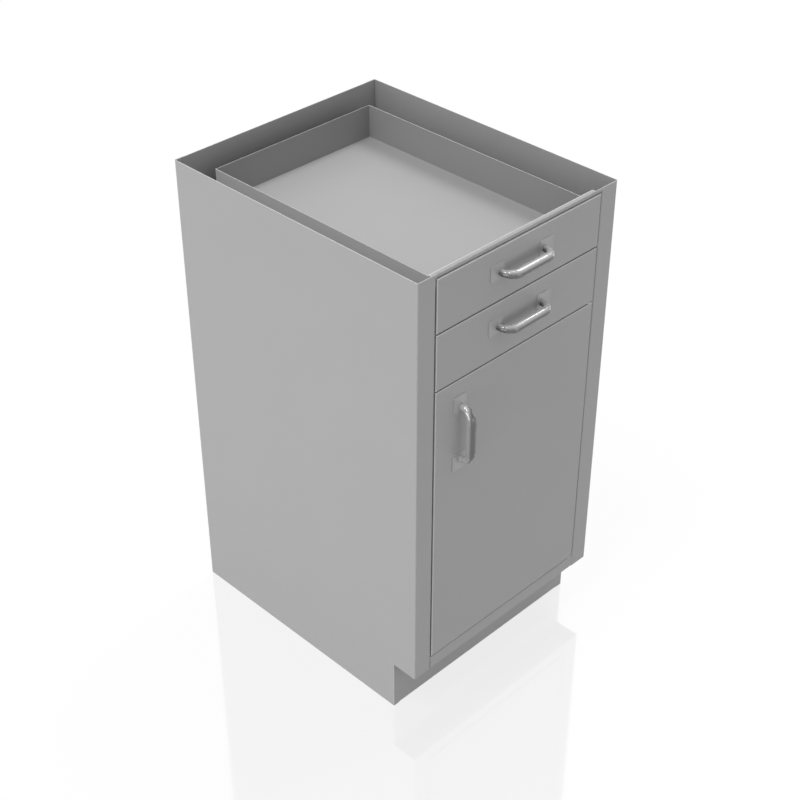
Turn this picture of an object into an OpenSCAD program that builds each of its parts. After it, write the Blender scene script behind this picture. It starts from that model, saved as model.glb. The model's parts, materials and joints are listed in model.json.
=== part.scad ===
// Laboratory base cabinet: a folded sheet steel case with two roller drawers over a pivoted door.
// Millimetres, +Z up, the fronts face -Y. The origin is on the floor, under the middle of the part.

/* [Case] */
// Width of the case over its sides
case_w = 457.2; // [400:0.1:600]
// Depth of the case from its face to its back
case_d = 558.8; // [520:0.1:620]
// Height of the case, from the floor to the worktop's seat
case_h = 895.35; // [850:0.05:940]
// Thickness of the steel sheet
sheet = 1.2; // [1:0.1:1.4]
// Inside radius of every bend in the sheet
bend_r = 1; // [0.8:0.1:1.2]
// Width of the face beside the fronts
stile_w = 38.1; // [34:0.1:44]
// Depth of the return behind the face
stile_return = 17; // [12:0.5:18]
// Width of the flange at the back of each side
back_flange_w = 19; // [14:0.5:24]
// Width of the flange under each side
foot_flange_w = 12; // [8:0.5:14]
// Height of the toe space
toe_h = 101.6; // [90:0.1:112]
// Depth of the toe space
toe_d = 50.8; // [44:0.1:64]
// Height of the face above the upper drawer
top_rail_h = 6.8; // [5:0.1:9]
// Depth of the leg behind that face
top_rail_leg = 6; // [5:0.5:9]
// Height of the face below the door
sill_h = 25.4; // [22:0.1:32]
// Height of the rails behind the fronts
rail_h = 22; // [18:0.5:23]
// Depth of the rails behind the fronts
rail_d = 24; // [18:0.5:30]

/* [Fronts] */
// Thickness of the drawer heads and of the door
front_t = 19; // [18:0.1:19.6]
// Gap round each front
front_gap = 2.4; // [2.3:0.1:3.2]
// Distance by which the fronts stand proud of the case
front_proud = 1; // [0.5:0.1:1.5]
// Height of the upper drawer head
upper_head_h = 95.8; // [88:0.1:110]
// Height of the lower drawer head
lower_head_h = 101.8; // [90:0.1:120]

/* [Drawers] */
// Space for the slide between the opening's edge and the drawer's side
slide_space = 14.2; // [14:0.1:15]
// Height of the drawer's floor above the head's lower edge
floor_rise = 22.8; // [21:0.1:24]
// Height of the head above the drawer's rim
rim_drop = 12; // [10:0.5:20]
// Space behind the drawer when it is shut
rear_space = 40; // [36:0.5:60]
// Length of the drawer that stays in the case when it is open to its stop
drawer_stay = 100.8; // [80:0.1:150]

/* [Slides] */
// Diameter of the nylon rollers
roller_d = 20; // [19:0.1:20.4]
// Width of the nylon rollers
roller_w = 7; // [6:0.1:7.2]
// Inside height of the case channel
channel_inner_h = 23.4; // [23:0.1:24]
// Reach of the channel's lower flange
channel_flange_w = 11.2; // [10:0.1:11.4]
// Reach of the channel's upper flange
channel_lip_w = 8; // [6:0.1:9]
// Reach of the runner's flange over the case roller
runner_flange_w = 9.3; // [8.5:0.1:9.5]
// Width of the runner's leg under the drawer
runner_leg_w = 12; // [8:0.5:18]
// Diameter of the roller axles
axle_d = 5; // [4:0.1:6]

/* [Pulls] */
// Diameter of the pull's grip
pull_d = 16.2; // [12:0.1:17]
// Diameter of the pull's legs at their feet
pull_leg_d = 10.6; // [9:0.1:12]
// Distance between the pull's two legs
pull_centres = 101.6; // [90:0.1:128]
// Distance from the front's face to the outside of the pull
pull_out = 32; // [31:0.5:40]
// Reach of a bend, from the leg's centre line to the grip's straight part
pull_bend_r = 22.5; // [18:0.5:23.5]
// Length of the pull over its feet
pull_len = 145; // [135:0.5:165]
// Width of a foot
pull_foot_w = 29; // [24:0.5:36]
// Thickness of a foot
pull_foot_t = 1.6; // [1.2:0.1:3]
// Distance from a drawer head's upper edge to the middle of its pull
pull_drop = 43.5; // [36:0.5:50]
// Distance from the door's free edge to the middle of its pull
door_pull_in = 56.8; // [45:0.1:90]
// Distance from the door's upper edge to the middle of its pull
door_pull_drop = 101.25; // [90:0.25:200]

/* [Door] */
// Distance of the hinge axis from the door's edge
hinge_in = 6; // [5:0.1:6.5]
// Distance of the hinge axis from the door's face
hinge_back = 6.5; // [6:0.1:8]
// Diameter of the hinge pins
hinge_pin_d = 6; // [5:0.1:6.4]

/* [Shelf] */
// Height of the shelf's edge
shelf_t = 25.4; // [18:0.1:32]
// Distance from the case's face to the front of the shelf
shelf_set_back = 63; // [50:0.5:120]
// Height of the shelf above the cupboard's floor, taken to the nearest slot
shelf_rise = 266; // [130:1:360]
// Distance between the slots in a standard
slot_pitch = 38.1; // [30:0.1:42]
// Width of a shelf standard
standard_w = 16; // [14:0.5:20]
// Depth of a shelf standard
standard_d = 6; // [5:0.5:8]

/* [Levelling feet] */
// Diameter of a foot's pad
pad_d = 28; // [22:0.5:30]
// Diameter of a foot's stud
stud_d = 9.5; // [8:0.1:12]
// Length of a foot's stud above the pad
stud_len = 70; // [62:0.5:90]

/* [Hidden] */

$fn = 32;

// Overrun of every cut past the face that it opens
over = 1;
// Running clearance of a shaft in its bore, on the radius
running = 0.05;
// Clearance between parts that move past each other or are pressed together
clear = 0.3;
// Length that a bend takes from each leg beside it, measured outside
fold = sheet + bend_r;

// Planes of the case
overall_d = case_d + front_proud + pull_out;
face_y = -overall_d / 2 + pull_out + front_proud;
back_y = overall_d / 2;
back_in_y = back_y - 2 * sheet;
side_in = case_w / 2 - sheet;
open_half = case_w / 2 - stile_w;
toe_y = face_y + toe_d;
floor_z = toe_h + sill_h;

// Planes of the fronts
fronts_y = face_y - front_proud;
fronts_back_y = fronts_y + front_t;
front_half = open_half - front_gap;
upper_top = case_h - top_rail_h - front_gap;
upper_bottom = upper_top - upper_head_h;
lower_top = upper_bottom - front_gap;
lower_bottom = lower_top - lower_head_h;
door_top = lower_bottom - front_gap;
door_bottom = floor_z + front_gap;
door_h = door_top - door_bottom;
upper_gap_z = (upper_bottom + lower_top) / 2;
lower_gap_z = (lower_bottom + door_top) / 2;

// Folds of the cupboard's floor: side flanges, and the sill's return and lap behind the face
floor_flange_h = 16;
sill_return = 12;
sill_lap = 3;

// Drop of the notch in each stile's return under the top rail
return_notch = 20;

// Planes of the rails and of the hinge plate on the cross rail
bumper_t = 1.7;
rail_y = fronts_back_y + bumper_t + clear;
pivot_plate_t = 1.2;
pivot_plate_w = 12;
pivot_plate_z = lower_gap_z - pivot_plate_t / 2;
middle_rail_top = upper_gap_z + rail_h / 2;
cross_rail_top = pivot_plate_z;

// Trays and what carries them
tray_half = open_half - slide_space;
tray_back_y = back_y - rear_space;
tray_len = tray_back_y - fronts_back_y;
drawer_travel = tray_len - drawer_stay;
upper_floor = upper_bottom + floor_rise;
lower_floor = lower_bottom + floor_rise;
upper_rim = upper_top - rim_drop;
lower_rim = lower_top - rim_drop;

// Slides: places across are measured from the tray's side, heights from the drawer's floor
channel_gap = 0.9;
channel_x = open_half - channel_gap;
channel_set_back = 3;
channel_front_y = fronts_back_y + channel_set_back;
channel_past = 10.6;
channel_len = tray_back_y + channel_past - channel_front_y;
channel_h = channel_inner_h + 2 * sheet;
track_drop = 2 * sheet;
roller_gap = 1.8;
roller_x = tray_half + sheet + roller_gap;
roller_r = roller_d / 2;
roller_wall = 1.8;
roller_edge = 0.6;
roller_rise = roller_r + clear - track_drop;
runner_flange_rise = roller_rise + roller_r + clear;
axle_r = axle_d / 2;
axle_head_r = 1.6 * axle_r;
axle_head_t = 0.8;
roller_from_end = 12;
case_roller_y = channel_front_y + roller_from_end;
drawer_roller_y = tray_back_y - roller_from_end;
stop_h = 5;
stop_t = 2;
stop_w = 5;
bracket_h = 22;
bracket_tab = 18;
bracket_from_end = 36;

// Pulls
pull_r = pull_d / 2;
pull_leg_r = pull_leg_d / 2;
pull_leg_x = pull_centres / 2;
pull_axis_out = pull_out - pull_r;
pull_arc = 30;
pull_taper_share = 0.17;
pull_taper = pull_taper_share * pull_bend_r;
pull_arc_r = pull_bend_r - pull_taper * (1 + cos(pull_arc) + cos(2 * pull_arc));
pull_growth_shares = [0, 0.27, 0.55, 0.82, 1];
pull_radii = [for (share = pull_growth_shares) pull_leg_r + share * (pull_r - pull_leg_r)];
pull_lap = 0.5;
pull_ledge = 0.03;
pull_foot_corner = 3;
pull_foot_rise = 2.5;
pull_screw_r = 2;
pull_screw_depth = 12;
screw_head_r = 4;
screw_head_t = 2.4;
upper_pull_z = upper_top - pull_drop;
lower_pull_z = lower_top - pull_drop;
door_pull_x = -front_half + door_pull_in;
door_pull_z = door_top - door_pull_drop;

// Screws that hold a head to its tray
head_screw_r = 2;
head_screw_len = 7;
head_screw_in = 40;
head_screw_rise_share = 0.28;

// Hinge, catch and bumpers
hinge_x = front_half - hinge_in;
hinge_y = fronts_y + hinge_back;
hinge_pin_r = hinge_pin_d / 2;
hinge_collar_r = 1.5 * hinge_pin_r;
hinge_collar_t = 2;
hinge_pin_hold = 16;
// The inner pans reach forward to just behind the collars
liner_d = front_t - hinge_back - hinge_collar_r - 2 * clear;
bushing_wall = 1.1;
upper_bushing_flange_t = 0.3;
lower_bushing_flange_t = 1;
bushing_flange_w = 2.5;
bushing_flange_r = hinge_pin_r + bushing_flange_w;
lower_bushing_h = 3 * sheet;
catch_w = 46;
catch_h = 13;
catch_d = 16;
catch_wall = 2.5;
catch_in = 50;
catch_x = -open_half + catch_in;
catch_z = cross_rail_top - rail_h - catch_h / 2;
strike_w = 38;
strike_h = 12;
strike_t = 1;
strike_corner = 2;
magnet_sink = 2;
bumper_r = 3;
bumper_in = 40;
bumper_x = open_half - bumper_in;
bumper_edge = 1.2;

// Shelf and standards
standard_in = 70;
standard_gap = 14;
standard_z = floor_z + standard_gap;
standard_top = cross_rail_top - rail_h - standard_gap;
standard_len = standard_top - standard_z;
slot_w = 6;
slot_h = 9;
slot_start = 20;
slot_count = floor((standard_len - slot_start - slot_h) / slot_pitch) + 1;
standard_front_y = face_y + shelf_set_back + standard_w;
standard_back_y = back_in_y - standard_in;
clip_t = 3;
clip_reach = 14;
clip_hook_h = 3;
clip_seat = clip_t + clear;
shelf_slot = round((floor_z + shelf_rise - clip_seat - standard_z - slot_start) / slot_pitch);
shelf_slot_z = standard_z + slot_start + shelf_slot * slot_pitch;
shelf_bottom = shelf_slot_z + clip_seat;
shelf_side_gap = 1.5;
shelf_half = side_in - standard_d - shelf_side_gap;
shelf_front_y = face_y + shelf_set_back;
shelf_back_gap = 6;
shelf_back_y = back_in_y - shelf_back_gap;
shelf_return = 12;

// Levelling feet
toe_flange_w = 18;
pad_r = pad_d / 2;
foot_in = 1.3 * pad_r;
foot_x = side_in - foot_flange_w - foot_in;
foot_front_y = toe_y + sheet + toe_flange_w + foot_in;
foot_back_y = back_in_y - back_flange_w - foot_in;
foot_rise = 1.5;
pad_h = 7;
pad_edge = pad_h / 4;
stud_r = stud_d / 2;
bracket_z = 30;
leveler_plate_w = 44;
leveler_upright = 26;
nut_af = 1.6 * stud_d;
nut_h = 0.85 * stud_d;

// Colours
grey = [0.60, 0.60, 0.60];
light_grey = [0.70, 0.70, 0.70];
zinc = [0.66, 0.67, 0.68];
satin = [0.82, 0.82, 0.83];
nylon = [0.93, 0.92, 0.88];
rubber = [0.16, 0.16, 0.16];

// One quarter bend of the sheet, w long, about the Z axis
module quarter_bend(w) {
    rotate_extrude(angle = 90)
        translate([bend_r, 0])
            square([sheet, w]);
}

// A folded sheet that starts along +X with its outside face on y = 0, w long in Z.
// legs are the flat lengths between bends, and a turn of 1 goes left, -1 goes right.
module folded(legs, turns, w, i = 0) {
    cube([legs[i], sheet, w]);
    if (i < len(turns))
        translate([legs[i], 0, 0]) {
            if (turns[i] > 0) {
                translate([0, fold, 0])
                    rotate([0, 0, -90])
                        quarter_bend(w);
                translate([fold, fold, 0])
                    rotate([0, 0, 90])
                        folded(legs, turns, w, i + 1);
            } else {
                translate([0, -bend_r, 0])
                    quarter_bend(w);
                translate([bend_r, -bend_r, 0])
                    rotate([0, 0, -90])
                        folded(legs, turns, w, i + 1);
            }
        }
}

// A profile drawn with x as Y and y as Z, centred along X
module across(w) {
    translate([-w / 2, 0, 0])
        rotate([90, 0, 90])
            children();
}

// A profile drawn with x as X and y as Z, run forward from the plane y
module forward_from(y) {
    translate([0, y, 0])
        rotate([90, 0, 0])
            children();
}

// The right half of a pair as drawn, the left one as its mirror image
module side_of(s) {
    if (s > 0)
        children();
    else
        mirror([1, 0, 0])
            children();
}

// A rectangle centred on x = 0 whose two front corners, on y = 0, are round
module front_outline(w, d, r) {
    translate([-w / 2, r])
        square([w, d - r]);
    translate([-w / 2 + r, 0])
        square([w - 2 * r, d]);
    for (s = [-1, 1])
        translate([s * (w / 2 - r), r])
            circle(r = r);
}

// A slab whose front edges are round all the way, front on y = 0, foot on z = 0
module slab(w, d, h, r) {
    intersection() {
        linear_extrude(h)
            front_outline(w, d, r);
        translate([w / 2, 0, h / 2])
            rotate([0, -90, 0])
                linear_extrude(w)
                    front_outline(h, d, r);
    }
}

// A folded pan, open at the back
module pan(w, d, h) {
    difference() {
        slab(w, d, h, fold);
        translate([0, sheet, sheet])
            slab(w - 2 * sheet, d, h - 2 * sheet, bend_r);
    }
}

// A rectangle with four round corners, centred on the origin
module round_plate(w, h, r) {
    square([w - 2 * r, h], center = true);
    square([w, h - 2 * r], center = true);
    for (x = [-1, 1], y = [-1, 1])
        translate([x * (w / 2 - r), y * (h / 2 - r)])
            circle(r = r);
}

// A cylinder along +X from the plane x
module along_x(x, length, r) {
    translate([x, 0, 0])
        rotate([0, 90, 0])
            cylinder(h = length, r = r);
}

// A cylinder along +Y from the plane y
module along_y(y, length, r) {
    translate([0, y, 0])
        rotate([-90, 0, 0])
            cylinder(h = length, r = r);
}

// The right side of the case: return, face, side and back flange in one folded sheet
module side_sheet() {
    difference() {
        translate([open_half, face_y + stile_return, 0])
            rotate([0, 0, -90])
                folded(
                    [stile_return - fold, stile_w - 2 * fold, case_d - 2 * fold, back_flange_w - fold],
                    [1, 1, 1],
                    case_h
                );
        translate([0, face_y - over, -over])
            cube([case_w, toe_d + over + sheet, toe_h + over]);
        translate([open_half - over, face_y - over, case_h - top_rail_h])
            cube([fold + over, stile_return + 2 * over, top_rail_h + over]);
        translate([open_half - over, face_y + fold, case_h - return_notch])
            cube([fold + over, stile_return, return_notch + over]);
    }
    translate([side_in - foot_flange_w, toe_y + sheet, 0])
        cube([foot_flange_w + sheet, back_in_y - toe_y - sheet, sheet]);
}

module left_side() {
    color(grey)
        side_of(-1)
            side_sheet();
}

module right_side() {
    color(grey)
        side_of(1)
            side_sheet();
}

// Flat back behind the case, with a stiffening flange along its foot
module back_panel() {
    half = side_in - bend_r - clear;
    flange_half = side_in - foot_flange_w - clear;
    color(grey) {
        translate([-half, back_in_y, 0])
            cube([2 * half, sheet, case_h]);
        translate([-flange_half, back_in_y - foot_flange_w, 0])
            cube([2 * flange_half, foot_flange_w, sheet]);
    }
}

// Cupboard floor: flanged down at the sides, up at the back, with the sill folded at its front
module floor_panel() {
    main_front = face_y + stile_return + clear;
    tongue_len = stile_return + sill_lap;
    color(grey)
        difference() {
            union() {
                forward_from(back_in_y)
                    translate([side_in, floor_z - floor_flange_h])
                        rotate([0, 0, 90])
                            folded(
                                [floor_flange_h - fold, 2 * side_in - 2 * fold, floor_flange_h - fold],
                                [1, 1],
                                back_in_y - main_front
                            );
                translate([-side_in + fold, back_in_y - sheet, floor_z - sheet])
                    cube([2 * side_in - 2 * fold, sheet, floor_flange_h]);
                across(2 * open_half - 2 * clear)
                    translate([face_y + tongue_len, floor_z])
                        rotate([0, 0, 180])
                            folded(
                                [tongue_len - fold, sill_h - 2 * fold, sill_return - fold],
                                [1, 1],
                                2 * open_half - 2 * clear
                            );
            }
            translate([hinge_x, hinge_y, floor_z - sheet - over])
                cylinder(h = sheet + 2 * over, r = hinge_pin_r + bushing_wall + running);
        }
}

// Toe board: its ears cover the front edges of both sides
module toe_board() {
    half = side_in - foot_flange_w - clear;
    ear = case_w / 2 - half;
    web_h = floor_z - sheet;
    color(grey) {
        across(2 * half)
            translate([toe_y + toe_flange_w, web_h])
                rotate([0, 0, 180])
                    folded(
                        [toe_flange_w - fold, web_h - 2 * fold, toe_flange_w - fold],
                        [1, 1],
                        2 * half
                    );
        for (s = [-1, 1])
            side_of(s)
                translate([half, toe_y, 0])
                    cube([ear, sheet, toe_h]);
    }
}

// Face above the upper drawer, with one leg folded back, between the flat parts of the stiles
module top_rail() {
    len = 2 * (open_half + fold);
    color(grey)
        across(len)
            translate([face_y, case_h])
                rotate([0, 0, -90])
                    folded([top_rail_h - fold, top_rail_leg - fold], [1], len);
}

// A channel across the case behind the fronts
module rail(top) {
    across(2 * side_in)
        translate([rail_y + rail_d, top])
            rotate([0, 0, 180])
                folded([rail_d - fold, rail_h - 2 * fold, rail_d - fold], [1, 1], 2 * side_in);
}

module middle_rail() {
    color(grey)
        rail(middle_rail_top);
}

module cross_rail() {
    color(grey)
        rail(cross_rail_top);
}

// A bracket from the right side of the case to the web of a channel
module slide_bracket(y, z) {
    translate([channel_x + sheet, y, z])
        rotate([0, 0, 90])
            folded(
                [bracket_tab, side_in - channel_x - sheet - bend_r - fold, bracket_tab],
                [-1, 1],
                bracket_h
            );
}

module slide_brackets() {
    color(zinc)
        for (s = [-1, 1], base = [upper_floor, lower_floor], end = [0, 1])
            side_of(s)
                slide_bracket(
                    channel_front_y + bracket_from_end
                        + end * (channel_len - 2 * bracket_from_end - 2 * bracket_tab),
                    base - track_drop + (channel_inner_h - bracket_h) / 2
                );
}

// Case half of a slide, on the right: a C channel with a stop at each end of the roller's path
module case_channel(base) {
    front_stop_y = drawer_roller_y - drawer_travel - roller_r - clear - stop_t;
    back_stop_y = drawer_roller_y + roller_r + clear;
    color(zinc)
        difference() {
            union() {
                forward_from(channel_front_y + channel_len)
                    translate([channel_x - channel_flange_w, base - track_drop - sheet])
                        folded(
                            [channel_flange_w - fold, channel_h - 2 * fold, channel_lip_w - fold],
                            [1, 1],
                            channel_len
                        );
                for (y = [front_stop_y, back_stop_y])
                    translate([roller_x + (roller_w - stop_w) / 2, y, base - track_drop - sheet])
                        cube([stop_w, stop_t, stop_h + sheet]);
            }
            translate([0, case_roller_y, base + roller_rise])
                along_x(channel_x - sheet - over, sheet + 2 * over, axle_r + running);
        }
}

module upper_left_channel() {
    side_of(-1)
        case_channel(upper_floor);
}

module upper_right_channel() {
    side_of(1)
        case_channel(upper_floor);
}

module lower_left_channel() {
    side_of(-1)
        case_channel(lower_floor);
}

module lower_right_channel() {
    side_of(1)
        case_channel(lower_floor);
}

// Shouldered rivet riveted into a channel's web, with its head inside the slide
module channel_axle(base) {
    translate([0, case_roller_y, base + roller_rise]) {
        along_x(roller_x - clear - axle_head_t, axle_head_t, axle_head_r);
        along_x(roller_x - clear, channel_x - roller_x + clear, axle_r);
        along_x(roller_x + roller_w + clear, channel_x - sheet - roller_x - roller_w - clear, axle_head_r);
    }
}

module channel_axles() {
    color(zinc)
        for (s = [-1, 1], base = [upper_floor, lower_floor])
            side_of(s)
                channel_axle(base);
}

// Nylon roller with a rim, a thin web and a hub, turning about X
module roller(y, base) {
    bore_r = axle_r + running;
    hub_r = axle_r + roller_wall;
    rim_r = roller_r - roller_wall;
    sink = roller_w / 4;
    color(nylon)
        translate([roller_x, y, base + roller_rise])
            rotate([0, 90, 0])
                rotate_extrude()
                    polygon([
                        [bore_r, 0], [hub_r, 0], [hub_r, sink], [rim_r, sink], [rim_r, 0],
                        [roller_r - roller_edge, 0], [roller_r, roller_edge],
                        [roller_r, roller_w - roller_edge], [roller_r - roller_edge, roller_w],
                        [rim_r, roller_w], [rim_r, roller_w - sink],
                        [hub_r, roller_w - sink], [hub_r, roller_w], [bore_r, roller_w]
                    ]);
}

module upper_left_case_roller() {
    side_of(-1)
        roller(case_roller_y, upper_floor);
}

module upper_right_case_roller() {
    side_of(1)
        roller(case_roller_y, upper_floor);
}

module lower_left_case_roller() {
    side_of(-1)
        roller(case_roller_y, lower_floor);
}

module lower_right_case_roller() {
    side_of(1)
        roller(case_roller_y, lower_floor);
}

module upper_left_drawer_roller() {
    side_of(-1)
        roller(drawer_roller_y, upper_floor);
}

module upper_right_drawer_roller() {
    side_of(1)
        roller(drawer_roller_y, upper_floor);
}

module lower_left_drawer_roller() {
    side_of(-1)
        roller(drawer_roller_y, lower_floor);
}

module lower_right_drawer_roller() {
    side_of(1)
        roller(drawer_roller_y, lower_floor);
}

// A slotted upright on the right side of the case
module shelf_standard(y) {
    difference() {
        translate([side_in, y + standard_w / 2, standard_z])
            rotate([0, 0, 180])
                folded(
                    [standard_d - fold, standard_w - 2 * fold, standard_d - fold],
                    [1, 1],
                    standard_len
                );
        for (i = [0 : slot_count - 1])
            translate([side_in - standard_d - over, y - slot_w / 2, standard_z + slot_start + i * slot_pitch])
                cube([sheet + 2 * over, slot_w, slot_h]);
    }
}

module shelf_standards() {
    color(zinc)
        for (s = [-1, 1], y = [standard_front_y, standard_back_y])
            side_of(s)
                shelf_standard(y);
}

// A clip hooked into one slot, with its tongue under the shelf's edge
module shelf_clip(y) {
    face_x = side_in - standard_d;
    tongue_w = slot_w - 2 * clear;
    hook_x = face_x + sheet + clear;
    translate([face_x - clip_reach, y - standard_w / 2, shelf_slot_z])
        cube([clip_reach, standard_w, clip_t]);
    translate([face_x - clear, y - tongue_w / 2, shelf_slot_z])
        cube([hook_x + sheet - face_x + clear, tongue_w, clip_t]);
    translate([hook_x, y - tongue_w / 2, shelf_slot_z])
        cube([sheet, tongue_w, clip_t + clip_hook_h]);
}

module shelf_clips() {
    color(zinc)
        for (s = [-1, 1], y = [standard_front_y, standard_back_y])
            side_of(s)
                shelf_clip(y);
}

// Plate in the gap above the door that carries the upper hinge bushing
module pivot_plate() {
    color(zinc)
        translate([hinge_x, hinge_y, pivot_plate_z])
            difference() {
                union() {
                    cylinder(h = pivot_plate_t, d = pivot_plate_w);
                    translate([-pivot_plate_w / 2, 0, 0])
                        cube([pivot_plate_w, rail_y + rail_d - hinge_y, pivot_plate_t]);
                }
                translate([0, 0, -over])
                    cylinder(h = pivot_plate_t + 2 * over, r = hinge_pin_r + bushing_wall + running);
            }
}

// Flanged nylon bushing on the hinge axis, with its flange below the plane z
module bushing(z, sleeve, flange_t) {
    translate([hinge_x, hinge_y, z])
        difference() {
            union() {
                cylinder(h = sleeve, r = hinge_pin_r + bushing_wall);
                translate([0, 0, -flange_t])
                    cylinder(h = flange_t, r = bushing_flange_r);
            }
            translate([0, 0, -flange_t - over])
                cylinder(h = sleeve + flange_t + 2 * over, r = hinge_pin_r + running);
        }
}

module pivot_bushings() {
    color(nylon) {
        bushing(pivot_plate_z, pivot_plate_t, upper_bushing_flange_t);
        translate([0, 0, 2 * floor_z])
            mirror([0, 0, 1])
                bushing(floor_z, lower_bushing_h, lower_bushing_flange_t);
    }
}

// Magnetic catch under the cross rail: an open fronted housing
module catch_housing() {
    front_y = fronts_back_y + strike_t + clear;
    color(nylon)
        difference() {
            translate([catch_x, front_y, catch_z - catch_h / 2])
                translate([-catch_w / 2, 0, 0])
                    cube([catch_w, catch_d, catch_h]);
            translate([catch_x - catch_w / 2 + catch_wall, front_y - over, catch_z - catch_h / 2 + catch_wall])
                cube([catch_w - 2 * catch_wall, catch_d - catch_wall + over, catch_h - 2 * catch_wall]);
        }
}

// Bar magnet with two pole plates, held in the housing
module catch_magnet() {
    front_y = fronts_back_y + strike_t + clear;
    w = catch_w - 2 * catch_wall;
    h = catch_h - 2 * catch_wall;
    pole_t = h / 4;
    color(rubber) {
        translate([catch_x - w / 2, front_y + magnet_sink, catch_z - h / 2])
            cube([w, catch_d - catch_wall - magnet_sink, h]);
        for (z = [-h / 2, h / 2 - pole_t])
            translate([catch_x - w / 2, front_y, catch_z + z])
                cube([w, magnet_sink, pole_t]);
    }
}

// Rubber bumper on a rail, with a domed edge
module bumper(x, z) {
    rim = bumper_t / 2;
    translate([x, rail_y, z])
        rotate([90, 0, 0])
            rotate_extrude()
                polygon([[0, 0], [bumper_r, 0], [bumper_r, rim], [bumper_r - rim, bumper_t], [0, bumper_t]]);
}

module bumpers() {
    reach = front_gap / 2 + bumper_edge + bumper_r;
    color(rubber)
        for (x = [-bumper_x, bumper_x]) {
            bumper(x, upper_gap_z + reach);
            bumper(x, upper_gap_z - reach);
            bumper(x, cross_rail_top - rail_h / 2);
        }
}

// Bracket that carries one levelling foot from the right side of the case
module leveling_bracket(y) {
    plate = side_in - foot_x + leveler_plate_w / 2;
    difference() {
        forward_from(y + leveler_plate_w / 2)
            translate([side_in - plate, bracket_z])
                folded([plate - fold, leveler_upright - fold], [1], leveler_plate_w);
        translate([foot_x, y, bracket_z - over])
            cylinder(h = sheet + 2 * over, r = stud_r + clear);
    }
}

module leveling_brackets() {
    color(zinc)
        for (s = [-1, 1], y = [foot_front_y, foot_back_y])
            side_of(s)
                leveling_bracket(y);
}

module leveling_nuts() {
    color(zinc)
        for (s = [-1, 1], y = [foot_front_y, foot_back_y])
            side_of(s)
                translate([foot_x, y, bracket_z + sheet])
                    difference() {
                        cylinder(h = nut_h, d = nut_af / cos(30), $fn = 6);
                        translate([0, 0, -over])
                            cylinder(h = nut_h + 2 * over, r = stud_r + running);
                    }
}

// Levelling foot: a coned pad on a stud, with a driver slot in the stud's end
module leveling_foot(y) {
    slot = stud_d / 6;
    color(zinc)
        translate([foot_x, y, foot_rise])
            difference() {
                rotate_extrude()
                    polygon([
                        [0, 0], [pad_r - pad_edge, 0], [pad_r, pad_edge], [pad_r, 2 * pad_edge],
                        [1.5 * stud_r, pad_h], [stud_r, pad_h],
                        [stud_r, pad_h + stud_len - pad_edge],
                        [stud_r - pad_edge / 2, pad_h + stud_len], [0, pad_h + stud_len]
                    ]);
                translate([-stud_d, -slot / 2, pad_h + stud_len - 2 * slot])
                    cube([2 * stud_d, slot, 2 * slot + over]);
            }
}

module front_left_foot() {
    side_of(-1)
        leveling_foot(foot_front_y);
}

module front_right_foot() {
    side_of(1)
        leveling_foot(foot_front_y);
}

module back_left_foot() {
    side_of(-1)
        leveling_foot(foot_back_y);
}

module back_right_foot() {
    side_of(1)
        leveling_foot(foot_back_y);
}

// Outer pan of a front, with the holes for its pull's screws at the given points
module front_pan(bottom, h, screws) {
    color(light_grey)
        difference() {
            translate([0, fronts_y, bottom])
                pan(2 * front_half, front_t, h);
            for (p = screws)
                translate([p[0], 0, p[1]])
                    along_y(fronts_y - over, sheet + 2 * over, pull_screw_r + clear);
        }
}

// Inner pan that closes a front from behind, with the given screw holes
module front_liner(bottom, h, screws) {
    inset = sheet + clear / 2;
    color(light_grey)
        difference() {
            translate([0, fronts_back_y, bottom + inset])
                mirror([0, 1, 0])
                    pan(2 * front_half - 2 * inset, liner_d, h - 2 * inset);
            for (p = screws)
                translate([p[0], 0, p[1]])
                    along_y(fronts_back_y - sheet - over, sheet + 2 * over, head_screw_r + running);
        }
}

// Places of the screws of a pull whose middle is at x, z, lying across or upright
function pull_points(x, z, upright) =
    [for (s = [-1, 1]) upright ? [x, z + s * pull_leg_x] : [x + s * pull_leg_x, z]];

// Places of the screws that join a tray to its head
function head_points(base, rim) = [
    for (x = [-1, 1], up = [head_screw_rise_share, 1 - head_screw_rise_share])
        [x * (tray_half - head_screw_in), base + up * (rim - base)]
];

// Bar that grows along +X from a leg's end to the grip: cones between arcs of one thickness,
// each arc turning it further to the left, each cone beginning inside the arc before it
module swelling(i = 0) {
    last = i == len(pull_radii) - 2;
    before = i == 0 ? 0 : pull_lap;
    after = last ? pull_lap : 0;
    translate([-before, 0, 0])
        rotate([0, 90, 0])
            cylinder(
                h = before + pull_taper + after,
                r1 = pull_radii[i] - (i == 0 ? 0 : pull_ledge),
                r2 = pull_radii[i + 1] - (last ? pull_ledge : 0)
            );
    if (!last)
        translate([pull_taper, pull_arc_r, 0]) {
            rotate([0, 0, -90])
                rotate_extrude(angle = pull_arc)
                    translate([pull_arc_r, 0])
                        circle(r = pull_radii[i + 1]);
            rotate([0, 0, pull_arc])
                translate([0, -pull_arc_r, 0])
                    swelling(i + 1);
        }
}

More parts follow.
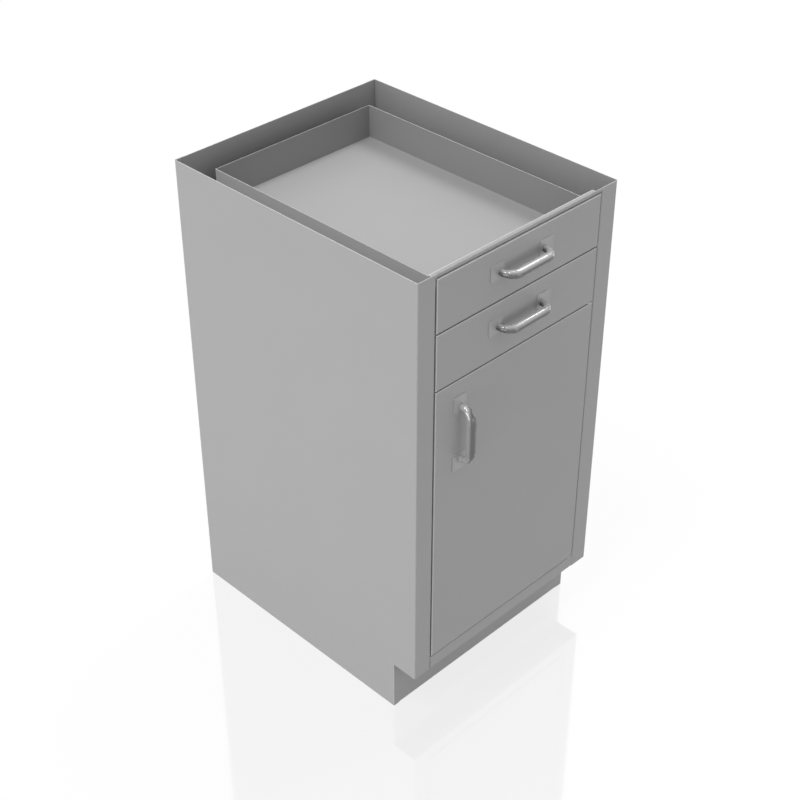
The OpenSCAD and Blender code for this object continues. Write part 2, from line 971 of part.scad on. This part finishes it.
// Bowed round pull on two flat feet, lying across the front, its feet on y = 0
module pull() {
    straight = pull_centres - 2 * pull_bend_r;
    leg = pull_axis_out - pull_bend_r;
    foot_len = pull_len / 2 - pull_leg_x + pull_r + pull_foot_t;
    color(satin)
        difference() {
            union() {
                translate([0, -pull_axis_out, 0])
                    along_x(-straight / 2, straight, pull_r);
                for (s = [-1, 1])
                    side_of(s) {
                        translate([pull_leg_x, -leg, 0])
                            rotate([0, 0, -90])
                                mirror([0, 1, 0])
                                    swelling();
                        translate([pull_leg_x, 0, 0])
                            along_y(-leg, leg, pull_leg_r);
                        translate([pull_len / 2 - foot_len / 2, 0, pull_foot_rise])
                            rotate([90, 0, 0])
                                linear_extrude(pull_foot_t)
                                    round_plate(foot_len, pull_foot_w, pull_foot_corner);
                    }
            }
            for (s = [-1, 1])
                translate([s * pull_leg_x, 0, 0])
                    along_y(-pull_screw_depth, pull_screw_depth + over, pull_screw_r + running);
        }
}

// Pan head screw driven forward along -Y, its head bearing on the plane y
module pan_screw(y, r, length) {
    crown = screw_head_t / 3;
    translate([0, y, 0])
        rotate([90, 0, 0])
            rotate_extrude()
                polygon([
                    [0, -screw_head_t], [screw_head_r - crown, -screw_head_t],
                    [screw_head_r, -screw_head_t + crown], [screw_head_r, 0], [r, 0],
                    [r, length - r / 2], [r / 2, length], [0, length]
                ]);
}

module pull_screws(points) {
    color(zinc)
        for (p = points)
            translate([p[0], 0, p[1]])
                pan_screw(fronts_y + sheet, pull_screw_r, sheet + pull_screw_depth - clear);
}

// Drawer tray: its floor and sides in one folded sheet
module tray(base, rim) {
    wall_h = rim - base + sheet;
    color(light_grey)
        forward_from(tray_back_y)
            translate([-tray_half, rim])
                rotate([0, 0, -90])
                    folded(
                        [wall_h - fold, 2 * tray_half - 2 * fold, wall_h - fold],
                        [1, 1],
                        tray_len
                    );
}

// Front and back of a tray, with the bends' round at their lower corners
module tray_ends(base, rim, screws) {
    inner = tray_half - sheet;
    color(light_grey)
        difference() {
            for (y = [fronts_back_y + sheet, tray_back_y])
                forward_from(y)
                    linear_extrude(sheet) {
                        translate([-inner, base + bend_r])
                            square([2 * inner, rim - base - bend_r]);
                        translate([-inner + bend_r, base])
                            square([2 * inner - 2 * bend_r, 2 * bend_r]);
                        for (s = [-1, 1])
                            translate([s * (inner - bend_r), base + bend_r])
                                circle(r = bend_r);
                    }
            for (p = screws)
                translate([p[0], 0, p[1]])
                    along_y(fronts_back_y - over, sheet + 2 * over, head_screw_r + running);
        }
}

module head_screws(points) {
    color(zinc)
        for (p = points)
            translate([p[0], 0, p[1]])
                pan_screw(fronts_back_y + sheet, head_screw_r, head_screw_len);
}

// Drawer half of a slide, on the right: a leg under the tray and a flange that rides on the case roller
module runner(base) {
    foot_z = base - 2 * sheet;
    web_top = base + runner_flange_rise - bend_r;
    color(zinc)
        difference() {
            forward_from(tray_back_y)
                translate([tray_half + sheet - runner_leg_w, foot_z])
                    folded(
                        [runner_leg_w - fold, web_top - foot_z - fold, runner_flange_w - bend_r],
                        [1, -1],
                        tray_len - clear
                    );
            translate([0, drawer_roller_y, base + roller_rise])
                along_x(tray_half - over, sheet + 2 * over, axle_r + running);
        }
}

// Shouldered rivets in both runners of a drawer, with their heads outside the rollers
module runner_axles(base) {
    color(zinc)
        for (s = [-1, 1])
            side_of(s)
                translate([0, drawer_roller_y, base + roller_rise]) {
                    along_x(tray_half, roller_x + roller_w + clear - tray_half, axle_r);
                    along_x(tray_half + sheet, roller_x - clear - tray_half - sheet, axle_head_r);
                    along_x(roller_x + roller_w + clear, axle_head_t, axle_head_r);
                }
}

upper_pull_points = pull_points(0, upper_pull_z, false);
lower_pull_points = pull_points(0, lower_pull_z, false);
door_pull_points = pull_points(door_pull_x, door_pull_z, true);
upper_head_points = head_points(upper_floor, upper_rim);
lower_head_points = head_points(lower_floor, lower_rim);

module upper_head() {
    front_pan(upper_bottom, upper_head_h, upper_pull_points);
}

module upper_liner() {
    front_liner(upper_bottom, upper_head_h, upper_head_points);
}

module upper_tray() {
    tray(upper_floor, upper_rim);
}

module upper_tray_ends() {
    tray_ends(upper_floor, upper_rim, upper_head_points);
}

module upper_left_runner() {
    side_of(-1)
        runner(upper_floor);
}

module upper_right_runner() {
    side_of(1)
        runner(upper_floor);
}

module upper_runner_axles() {
    runner_axles(upper_floor);
}

module upper_pull() {
    translate([0, fronts_y, upper_pull_z])
        pull();
}

module upper_screws() {
    pull_screws(upper_pull_points);
    head_screws(upper_head_points);
}

module lower_head() {
    front_pan(lower_bottom, lower_head_h, lower_pull_points);
}

module lower_liner() {
    front_liner(lower_bottom, lower_head_h, lower_head_points);
}

module lower_tray() {
    tray(lower_floor, lower_rim);
}

module lower_tray_ends() {
    tray_ends(lower_floor, lower_rim, lower_head_points);
}

module lower_left_runner() {
    side_of(-1)
        runner(lower_floor);
}

module lower_right_runner() {
    side_of(1)
        runner(lower_floor);
}

module lower_runner_axles() {
    runner_axles(lower_floor);
}

module lower_pull() {
    translate([0, fronts_y, lower_pull_z])
        pull();
}

module lower_screws() {
    pull_screws(lower_pull_points);
    head_screws(lower_head_points);
}

module door_outer() {
    difference() {
        front_pan(door_bottom, door_h, door_pull_points);
        for (z = [door_bottom - over, door_top - sheet - over])
            translate([hinge_x, hinge_y, z])
                cylinder(h = sheet + 2 * over, r = hinge_pin_r + running);
    }
}

module door_inner() {
    front_liner(door_bottom, door_h, []);
}

module door_pull() {
    translate([door_pull_x, fronts_y, door_pull_z])
        rotate([0, -90, 0])
            pull();
}

module door_pull_screws() {
    pull_screws(door_pull_points);
}

// Hinge pins: each has a collar inside the door, and the lower one a shoulder on its bushing
module hinge_pins() {
    upper_end = pivot_plate_z + pivot_plate_t + clear;
    lower_end = floor_z - lower_bushing_h;
    shoulder_z = floor_z + lower_bushing_flange_t + clear;
    color(zinc)
        translate([hinge_x, hinge_y, 0]) {
            translate([0, 0, door_top - hinge_pin_hold])
                cylinder(h = upper_end - door_top + hinge_pin_hold, r = hinge_pin_r);
            translate([0, 0, door_top - sheet - hinge_collar_t])
                cylinder(h = hinge_collar_t, r = hinge_collar_r);
            translate([0, 0, lower_end])
                cylinder(h = door_bottom + hinge_pin_hold - lower_end, r = hinge_pin_r);
            translate([0, 0, door_bottom + sheet])
                cylinder(h = hinge_collar_t, r = hinge_collar_r);
            translate([0, 0, shoulder_z])
                cylinder(h = door_bottom - shoulder_z, r = hinge_collar_r);
        }
}

// Steel strike on the back of the door
module catch_strike() {
    color(zinc)
        translate([catch_x, fronts_back_y + strike_t, catch_z])
            rotate([90, 0, 0])
                linear_extrude(strike_t)
                    round_plate(strike_w, strike_h, strike_corner);
}

// Shelf folded down on all four edges, with returns along its front and back
module shelf() {
    depth = shelf_back_y - shelf_front_y;
    color(grey) {
        across(2 * shelf_half)
            translate([shelf_back_y - shelf_return, shelf_bottom])
                folded(
                    [
                        shelf_return - fold, shelf_t - 2 * fold, depth - 2 * fold,
                        shelf_t - 2 * fold, shelf_return - fold
                    ],
                    [1, 1, 1, 1],
                    2 * shelf_half
                );
        for (s = [-1, 1])
            side_of(s)
                translate([shelf_half - sheet, shelf_front_y + sheet, shelf_bottom])
                    cube([sheet, depth - 2 * sheet, shelf_t - sheet]);
    }
}

left_side();
right_side();
back_panel();
floor_panel();
toe_board();
top_rail();
middle_rail();
cross_rail();
slide_brackets();
upper_left_channel();
upper_right_channel();
lower_left_channel();
lower_right_channel();
channel_axles();
shelf_standards();
shelf_clips();
pivot_plate();
pivot_bushings();
catch_housing();
catch_magnet();
bumpers();
leveling_brackets();
leveling_nuts();
front_left_foot();
front_right_foot();
back_left_foot();
back_right_foot();
upper_left_case_roller();
upper_right_case_roller();
lower_left_case_roller();
lower_right_case_roller();
upper_head();
upper_liner();
upper_tray();
upper_left_runner();
upper_right_runner();
upper_runner_axles();
upper_tray_ends();
upper_pull();
upper_screws();
upper_left_drawer_roller();
upper_right_drawer_roller();
lower_head();
lower_liner();
lower_tray();
lower_tray_ends();
lower_left_runner();
lower_right_runner();
lower_runner_axles();
lower_pull();
lower_screws();
lower_left_drawer_roller();
lower_right_drawer_roller();
door_outer();
door_inner();
door_pull();
door_pull_screws();
hinge_pins();
catch_strike();
shelf();
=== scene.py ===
import json
import math

import bpy
from mathutils import Matrix, Vector


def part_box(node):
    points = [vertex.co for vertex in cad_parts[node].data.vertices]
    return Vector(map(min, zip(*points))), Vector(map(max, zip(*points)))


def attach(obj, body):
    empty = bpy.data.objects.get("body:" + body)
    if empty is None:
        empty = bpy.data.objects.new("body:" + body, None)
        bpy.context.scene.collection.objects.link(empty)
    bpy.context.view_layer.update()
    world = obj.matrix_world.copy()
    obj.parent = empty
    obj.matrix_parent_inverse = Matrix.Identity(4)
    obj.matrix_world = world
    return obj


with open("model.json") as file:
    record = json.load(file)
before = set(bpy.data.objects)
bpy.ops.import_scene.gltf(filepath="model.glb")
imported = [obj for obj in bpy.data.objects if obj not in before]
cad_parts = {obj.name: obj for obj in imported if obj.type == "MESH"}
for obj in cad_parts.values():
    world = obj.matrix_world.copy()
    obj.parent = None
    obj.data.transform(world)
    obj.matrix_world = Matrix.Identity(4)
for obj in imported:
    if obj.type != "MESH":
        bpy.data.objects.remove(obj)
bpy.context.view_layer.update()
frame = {"nodes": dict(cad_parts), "record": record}
scene = bpy.context.scene
scene.view_settings.view_transform = "Standard"

# Sizes in metres
millimetre = 0.001
floor_top = 127 * millimetre
weld_in = 9 * millimetre
weld_pitch = 75 * millimetre
weld_r = 3.2 * millimetre
weld_depth = 8           # in heights of the orange peel
plug_r = 9.5 * millimetre
plug_rim_t = 0.8 * millimetre
pull_r = 8.1 * millimetre
pull_inset = 17 * millimetre
# Reach of the edge wear, which is also a painted edge highlight
front_wear_and_highlight = 1.8 * millimetre
case_wear_and_highlight = 0.6 * millimetre
# Reach of the rubbed edges, which also carry a faint painted highlight
rubbed_and_highlight_reach = 2.2 * millimetre

# The camera: its sensor and lens in millimetres, the rest in metres
sensor_w = 36
lens = 70.3
view_target = Vector((0, 0.0015, 0.4459))
view_distance = 2.781
view_azimuth = math.radians(-45)
view_elevation = math.radians(35.264)

# How far below a face its own tone starts, and how far it is full, in millimetres
ledge_skin = (0.5, 0.3)
tray_inner_skin = (1.6, 1.3)
tray_outer_skin = (0.8, 0.5)
flange_skin = (0.6, 0.4)
pull_foot_skin = (2.4, 1.7)

# The plug button from its rim inward: the width of each ring and its rise, in millimetres
plug_rings = ((0.4, 0.25), (1.1, 0.15), (0.7, 0.7), (2.2, 0.35), (2.6, 0.1), (0.3, -0.3))

# Stretch of a grain that runs across the cabinet, upright or along its depth
across = (0.02, 1.0, 1.0)
upright = (1.0, 1.0, 0.02)
lengthwise = (1.0, 0.04, 1.0)

# Tones of the paint, as linear greys; some are painted shade and some painted light
paint_grey = 0.42
# Painted shade on the top rail's level top
rail_top_shaded_grey = 0.27
tray_grey = 0.43
# Painted shade on the tray's ends
tray_end_shaded_grey = 0.29
# Painted shade on the inner face of the tray's walls, painted light on their outer face
tray_wall_shaded_grey = 0.36
tray_outside_lit_grey = 0.62
# Painted shade and painted light on the pull's bar: its dark and its pale tone
bar_shaded_grey = 0.08
bar_lit_grey = 0.50
foot_grey = 0.39
# Edge wear, which is also a painted edge highlight
worn_and_highlight_grey = 0.80
tone_below = 0.012
tone_above = 0.020

# The studio
white = (1.0, 1.0, 1.0, 1.0)
floor_lit_grey = 0.20
floor_shown_grey = 0.92
floor_white_share = 0.90
floor_mirror_share = 0.145
floor_mirror_roughness = 0.06
floor_half = 12
sky_level = 0.50
sun_height = 3
panel_distance = 3
panel_w = 2.4
panel_h = 1.05


class Signal:
    """A number that varies over a surface. Arithmetic on it adds Math nodes."""

    def __init__(self, nodes, socket):
        self.nodes = nodes
        self.socket = socket

    def combine(self, operation, first, second):
        maths = self.nodes.add("ShaderNodeMath", {"operation": operation}, {0: first, 1: second})
        return Signal(self.nodes, maths.outputs["Value"])

    def __add__(self, other):
        return self.combine("ADD", self, other)

    __radd__ = __add__

    def __sub__(self, other):
        return self.combine("SUBTRACT", self, other)

    def __rsub__(self, other):
        return self.combine("SUBTRACT", other, self)

    def __mul__(self, other):
        return self.combine("MULTIPLY", self, other)

    __rmul__ = __mul__

    def lower_of(self, other):
        return self.combine("MINIMUM", self, other)

    def higher_of(self, other):
        return self.combine("MAXIMUM", self, other)

    def swing(self, reach):
        """Runs from 0 up to reach and back to 0, again and again."""
        return self.combine("PINGPONG", self, reach)

    def rise(self, start, end):
        """0 up to start, 1 from end, and smooth between them. start may be the larger."""
        span = {"From Min": start, "From Max": end}
        ramp = self.nodes.add(
            "ShaderNodeMapRange", {"interpolation_type": "SMOOTHSTEP"}, {"Value": self, **span}
        )
        return Signal(self.nodes, ramp.outputs["Result"])


class Nodes:
    """A node tree, built node by node."""

    def __init__(self, owner):
        owner.use_nodes = True
        self.tree = owner.node_tree
        self.tree.nodes.clear()

    def add(self, kind, settings=None, inputs=None):
        """A node of that type, its settings first, then the values or links of its sockets."""
        node = self.tree.nodes.new(kind)
        for name, value in (settings or {}).items():
            setattr(node, name, value)
        for name, value in (inputs or {}).items():
            if isinstance(value, Signal):
                value = value.socket
            if isinstance(value, bpy.types.NodeSocket):
                self.tree.links.new(value, node.inputs[name])
            else:
                node.inputs[name].default_value = value
        return node

    def white_share(self):
        """1 for what the camera sees, directly or mirrored, and 0 for the light on the object."""
        path = self.add("ShaderNodeLightPath")
        kinds = ("Camera", "Glossy", "Transmission")
        camera, glossy, through = (Signal(self, path.outputs[f"Is {kind} Ray"]) for kind in kinds)
        return camera.higher_of(glossy).higher_of(through)

    def blend(self, share, first, second):
        """The shader that lies that share of the way from first to second."""
        mix = self.add("ShaderNodeMixShader", None, {0: share, 1: first, 2: second})
        return mix.outputs["Shader"]


class Finish(Nodes):
    """One material, in Object coordinates."""

    def __init__(self, name):
        self.material = bpy.data.materials.new(name)
        super().__init__(self.material)
        self.place = self.add("ShaderNodeTexCoord").outputs["Object"]

    def axes(self):
        parts = self.add("ShaderNodeSeparateXYZ", None, {"Vector": self.place})
        return [Signal(self, parts.outputs[axis]) for axis in "XYZ"]

    def stretched(self, factors):
        mapping = self.add("ShaderNodeMapping", None, {"Vector": self.place, "Scale": factors})
        return mapping.outputs["Vector"]

    def noise(self, scale, detail=2.0, factors=None):
        where = self.stretched(factors) if factors else self.place
        texture = self.add(
            "ShaderNodeTexNoise", None, {"Vector": where, "Scale": scale, "Detail": detail}
        )
        return Signal(self, texture.outputs["Fac"])

    def grains(self, scale):
        """A tone of its own for each crystal of a plated surface."""
        texture = self.add("ShaderNodeTexVoronoi", None, {"Vector": self.place, "Scale": scale})
        parts = self.add("ShaderNodeSeparateColor", None, {"Color": texture.outputs["Color"]})
        return Signal(self, parts.outputs["Red"])

    def between(self, share, low, high):
        """The colour that lies that share of the way from low to high."""
        low, high = (
            end if isinstance(end, bpy.types.NodeSocket) else (*end, 1.0) for end in (low, high)
        )
        mix = self.add("ShaderNodeMix", {"data_type": "RGBA"}, {0: share, 6: low, 7: high})
        return mix.outputs[2]

    def relief(self, height, depth, strength=1.0):
        bump = self.add(
            "ShaderNodeBump", None, {"Height": height, "Distance": depth, "Strength": strength}
        )
        return bump.outputs["Normal"]

    def surface(self, inputs):
        body = self.add("ShaderNodeBsdfPrincipled", None, inputs)
        self.add("ShaderNodeOutputMaterial", None, {"Surface": body.outputs["BSDF"]})
        return self.material


def edge_mask(finish, corners, reach):
    """1 along the edges of the box with those corners, fading to 0 at that distance from them."""
    nearness = []
    for place, low, high in zip(finish.axes(), *corners):
        distance = (place - low).lower_of(high - place)
        nearness.append(distance.rise(reach, 0))
    x, y, z = nearness
    return (x * y).higher_of(y * z).higher_of(x * z)


def skin_mask(place, face, skin):
    """1 on the face at that place along an axis, and 0 deeper than the skin."""
    start, full = skin
    return place.rise(face - start * millimetre, face - full * millimetre)


def grey(value):
    return (value, value, value)


def ledge_shade(finish, node, coat):
    """The coat, with painted shade on the node's level top: a darker tone."""
    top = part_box(node)[1].z
    z = finish.axes()[2]
    return finish.between(skin_mask(z, top, ledge_skin), coat, grey(rail_top_shaded_grey))


def tray_shade(finish, node, coat):
    """The coat of a tray's floor, with painted shade on the inner face of its side walls and
    painted light on their outer face.
    """
    wall_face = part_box(node)[1].x
    x = finish.axes()[0]
    outward = x.higher_of(0 - x)
    shaded_wall_mask = skin_mask(outward, wall_face, tray_inner_skin)
    lit_outside_mask = skin_mask(outward, wall_face, tray_outer_skin)
    coat_with_shaded_walls = finish.between(shaded_wall_mask, coat, grey(tray_wall_shaded_grey))
    return finish.between(lit_outside_mask, coat_with_shaded_walls, grey(tray_outside_lit_grey))


def weld_dents(finish, node):
    """Shallow dents of the spot welds, in an upright row on the back flange of a side."""
    low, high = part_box(node)
    x, y, z = finish.axes()
    beside = x.higher_of(0 - x) - (max(high.x, -low.x) - weld_in)
    above = z.swing(weld_pitch / 2)
    distance_squared = beside * beside + above * above
    dent = distance_squared.rise(weld_r ** 2, (0.5 * weld_r) ** 2)
    return dent * skin_mask(y, high.y, flange_skin)


def painted(name, node, tone, wear_and_highlight_reach):
    """Satin powder coat with orange peel, a little tone and gloss variation, and rubbed edges a
    little paler as a painted highlight.

    Its edges are worn, and painted bright as a highlight, as far as the reach given last.
    """
    finish = Finish(name)
    peel = finish.noise(620, 1.5)
    cloud = finish.noise(9, 3.0)
    flow = finish.noise(55, 2.0)
    scuffs = finish.noise(40, 4.0, (1.0, 1.0, 14.0)).rise(0.66, 0.78)
    patches = finish.noise(70, 3.0).rise(0.3, 0.6)
    # Rubbed edges: glossier, and painted a little paler as a highlight
    rubbed_and_highlight = edge_mask(finish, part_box(node), rubbed_and_highlight_reach) * patches
    share = cloud * 0.5 + flow * 0.3 + scuffs * 0.25 + rubbed_and_highlight * 2.2
    coat = finish.between(share, grey(tone - tone_below), grey(tone + tone_above))
    # Painted shade on the inner faces of the tray's walls and painted light on their outer faces
    if node.endswith("_tray"):
        coat = tray_shade(finish, node, coat)
    # Painted shade on the top rail's top face
    if node == "top_rail":
        coat = ledge_shade(finish, node, coat)
    # Edge wear and a painted highlight: the edges are painted bright
    wear_and_highlight = edge_mask(finish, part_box(node), wear_and_highlight_reach) * (0.7 + finish.noise(160, 2.0) * 0.6)
    colour = finish.between(wear_and_highlight, coat, grey(worn_and_highlight_grey))
    roughness = 0.40 + flow * 0.10 - scuffs * 0.06 - rubbed_and_highlight * 0.10
    height = peel + scuffs * 0.15
    if node in ("left_side", "right_side"):
        height = height - weld_dents(finish, node) * weld_depth
    return finish.surface({
        "Base Color": colour,
        "Roughness": roughness,
        "Normal": finish.relief(height, 0.05 * millimetre, 0.6),
        "Specular IOR Level": 0.4,
    })


def plated_steel():
    """Zinc plated steel, with fine crystals and a drawn grain."""
    finish = Finish("plated_steel")
    crystals = finish.grains(260)
    cloud = finish.noise(25, 3.0)
    drawn = finish.noise(900, 1.0, lengthwise)
    colour = finish.between(crystals * 0.5 + cloud * 0.5, (0.42, 0.43, 0.44), (0.56, 0.57, 0.58))
    return finish.surface({
        "Base Color": colour,
        "Roughness": 0.30 + crystals * 0.08 + cloud * 0.12,
        "Metallic": 0.85,
        "Normal": finish.relief(crystals * 0.3 + drawn * 0.7, 0.03 * millimetre, 0.5),
    })


def pull_metal(name, node):
    """Satin lacquered metal, brushed along the bar, with painted light: pale on the side turned
    to the light, dark as painted shade on the rest.

    That is the upper side of a level bar, and the left side of an upright one. The feet are
    painted like the fronts.
    """
    finish = Finish(name)
    low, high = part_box(node)
    x, y, z = finish.axes()
    feet = skin_mask(y, high.y, pull_foot_skin)
    bare = 1 - feet
    stands = high.z - low.z > high.x - low.x
    brushed = finish.noise(1500, 2.0, upright if stands else across)
    cloud = finish.noise(30, 2.0)
    # Painted light: the side turned to the light is painted pale, the other side painted dark as
    # shade
    if stands:
        middle = low.y + pull_r - (low.x + pull_inset)
        painted_light_side = (y - x).rise(middle - 0.1 * pull_r, middle + 1.5 * pull_r)
    else:
        middle = high.z - pull_inset
        painted_light_side = z.rise(middle + 0.1 * pull_r, middle + pull_r)
    grain = brushed * 0.05 + cloud * 0.03
    bar = finish.between(painted_light_side + grain, grey(bar_shaded_grey), grey(bar_lit_grey))
    return finish.surface({
        "Base Color": finish.between(feet, bar, grey(foot_grey)),
        "Roughness": 0.20 + brushed * 0.08 + feet * 0.18,
        "Metallic": bare * 0.2,
        "Specular IOR Level": 1.0,
        "Normal": finish.relief(brushed, 0.02 * millimetre, 0.35),
    })


def nylon():
    finish = Finish("nylon")
    flow = finish.noise(80, 3.0)
    grain = finish.noise(1800, 1.0)
    return finish.surface({
        "Base Color": finish.between(flow, (0.76, 0.75, 0.70), (0.84, 0.83, 0.79)),
        "Roughness": 0.42 + flow * 0.14,
        "Normal": finish.relief(grain, 0.02 * millimetre, 0.4),
    })


def bumper_rubber():
    finish = Finish("bumper_rubber")
    bloom = finish.noise(300, 3.0)
    return finish.surface({
        "Base Color": finish.between(bloom, grey(0.018), grey(0.045)),
        "Roughness": 0.62 + bloom * 0.2,
        "Normal": finish.relief(bloom, 0.05 * millimetre, 0.5),
    })


def magnet():
    finish = Finish("magnet")
    pits = finish.noise(900, 4.0)
    return finish.surface({
        "Base Color": finish.between(pits, grey(0.04), grey(0.10)),
        "Roughness": 0.5 + pits * 0.25,
        "Metallic": 0.4,
        "Normal": finish.relief(pits, 0.05 * millimetre, 0.6),
    })


def dress(node, material):
    for slot in frame["nodes"][node].material_slots:
        slot.material = material


def dress_nodes():
    """Gives every node its finish, and returns the finishes that several nodes share."""
    shared = {
        "plated_steel": plated_steel(),
        "nylon": nylon(),
        "bumper_rubber": bumper_rubber(),
        "magnet": magnet(),
    }
    tones = {"case_paint": paint_grey, "front_paint": paint_grey, "tray_paint": tray_grey}
    for subpart in frame["record"]["subparts"]:
        node, slot = subpart["node"], subpart["material_slot"]
        if slot in tones:
            # Reach of the edge wear and painted edge highlight
            wear_and_highlight_reach = front_wear_and_highlight if slot == "front_paint" else case_wear_and_highlight
            # Painted shade: the tray ends are painted darker than the tray
            tone = tray_end_shaded_grey if node.endswith("tray_ends") else tones[slot]
            material = painted(f"{slot}_{node}", node, tone, wear_and_highlight_reach)
        elif slot == "pull_metal":
            material = pull_metal(f"{slot}_{node}", node)
        else:
            material = shared[slot]
        dress(node, material)
    return shared


def select_top(piece):
    """Selects only the highest level faces of a mesh, and opens it for shaping."""
    bpy.ops.object.mode_set(mode="OBJECT")
    faces = piece.data.polygons
    top = max(face.center.z for face in faces if face.normal.z > 0.9)
    for vertex in piece.data.vertices:
        vertex.select = False
    for edge in piece.data.edges:
        edge.select = False
    for face in faces:
        face.select = face.normal.z > 0.9 and face.center.z > top - 0.01 * millimetre
    bpy.ops.object.mode_set(mode="EDIT")
    bpy.ops.mesh.select_mode(type="FACE")


def raise_ring(piece, width, rise):
    """Insets the top by width and moves the new inner face up by rise."""
    select_top(piece)
    bpy.ops.mesh.inset(thickness=width)
    bpy.ops.transform.translate(value=(0, 0, rise))


def model_plug_button(place):
    """Domed plug over a levelling foot, its rim lying on the cupboard floor."""
    middle = place + Vector((0, 0, plug_rim_t / 2))
    bpy.ops.object.select_all(action="DESELECT")
    bpy.ops.mesh.primitive_cylinder_add(
        vertices=64, radius=plug_r, depth=plug_rim_t, location=middle
    )
    button = bpy.context.object
    for width, rise in plug_rings:
        raise_ring(button, width * millimetre, rise * millimetre)
    bpy.ops.object.mode_set(mode="OBJECT")
    bpy.ops.object.transform_apply(location=True, rotation=True, scale=True)
    bpy.ops.object.shade_smooth_by_angle(angle=math.radians(40))
    return button


def build_plug_buttons(material):
    """One button over each foot. The first is modelled, and the others are its copies."""
    feet = ("front_left_foot", "front_right_foot", "back_left_foot", "back_right_foot")
    places = []
    for foot in feet:
        low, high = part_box(foot)
        places.append(Vector(((low.x + high.x) / 2, (low.y + high.y) / 2, floor_top)))
    first = model_plug_button(places[0])
    first.data.materials.append(material)
    buttons = [first]
    for place in places[1:]:
        button = first.copy()
        button.data = first.data.copy()
        button.data.transform(Matrix.Translation(place - places[0]))
        scene.collection.objects.link(button)
        buttons.append(button)
    for foot, button in zip(feet, buttons):
        button.name = foot.replace("foot", "plug_button")
        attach(button, "case")


def build_floor():
    """Pale floor that shows as white, keeps a soft shadow and mirrors the object faintly."""
    bpy.ops.mesh.primitive_plane_add(size=2 * floor_half, location=(0, 0, 0))
    floor = bpy.context.object
    floor.name = "studio_floor"
    finish = Finish("pale_floor")
    lit, pale = (
        finish.add("ShaderNodeBsdfDiffuse", None, {"Color": (*grey(level), 1.0)}).outputs["BSDF"]
        for level in (floor_lit_grey, floor_shown_grey)
    )
    glow = finish.add("ShaderNodeEmission", None, {"Color": white, "Strength": 1.0})
    mirror = finish.add(
        "ShaderNodeBsdfGlossy", None, {"Color": white, "Roughness": floor_mirror_roughness}
    )
    shown = finish.blend(floor_white_share, pale, glow.outputs["Emission"])
    glazed = finish.blend(floor_mirror_share, shown, mirror.outputs["BSDF"])
    both = finish.blend(finish.white_share(), lit, glazed)
    finish.add("ShaderNodeOutputMaterial", None, {"Surface": both})
    floor.data.materials.append(finish.material)


def build_sky():
    """A soft grey sky lights the object, and shows as white."""
    scene.world = bpy.data.worlds.new("studio_sky")
    sky = Nodes(scene.world)
    soft, bright = (
        sky.add("ShaderNodeBackground", None, {"Color": white, "Strength": level})
        for level in (sky_level, 1.0)
    )
    both = sky.blend(
        sky.white_share(), soft.outputs["Background"], bright.outputs["Background"]
    )
    sky.add("ShaderNodeOutputWorld", None, {"Surface": both})


def hang_lamp(name, lamp, place, source):
    """Puts a lamp at that place so that it shines from the direction source."""
    holder = bpy.data.objects.new(name, lamp)
    holder.location = place
    holder.rotation_euler = Vector(source).to_track_quat("Z", "Y").to_euler()
    holder.visible_camera = False
    scene.collection.objects.link(holder)


def soft_panel(name, source, level):
    """A wide panel lamp on the floor, so low that it doesn't shine into the open top."""
    lamp = bpy.data.lights.new(name, "AREA")
    lamp.shape = "RECTANGLE"
    lamp.size = panel_w
    lamp.size_y = panel_h
    lamp.energy = level * (math.pi * panel_distance) ** 2
    place = panel_distance * Vector(source) + Vector((0, 0, panel_h / 2))
    hang_lamp(name, lamp, place, source)


def soft_sun(name, source, level, spread):
    """A lamp at infinity, as wide in the sky as spread in degrees."""
    lamp = bpy.data.lights.new(name, "SUN")
    lamp.energy = level
    lamp.angle = math.radians(spread)
    hang_lamp(name, lamp, (0, 0, sun_height), source)


def build_lights():
    """Two soft lights from above and a tent of four panels round the object."""
    soft_sun("top_left_light", (-0.50, 0.0, 1.0), 1.05, 20)
    soft_sun("top_right_light", (0.54, 0.05, 0.82), 0.95, 26)
    soft_panel("left_light", (-1, 0, 0), 0.36)
    soft_panel("front_light", (0, -1, 0), 0.14)
    soft_panel("right_light", (1, 0, 0), 0.20)
    soft_panel("back_light", (0, 1, 0), 0.20)


def build_camera():
    camera = bpy.data.cameras.new("front_camera")
    camera.sensor_width = sensor_w
    camera.lens = lens
    camera.clip_end = 50
    reach = math.cos(view_elevation)
    back = Vector((
        math.sin(view_azimuth) * reach, -math.cos(view_azimuth) * reach, math.sin(view_elevation)
    ))
    holder = bpy.data.objects.new("front_camera", camera)
    holder.location = view_target + view_distance * back
    holder.rotation_euler = back.to_track_quat("Z", "Y").to_euler()
    scene.collection.objects.link(holder)
    scene.camera = holder


finishes = dress_nodes()
build_plug_buttons(finishes["nylon"])
build_camera()
build_floor()
build_sky()
build_lights()
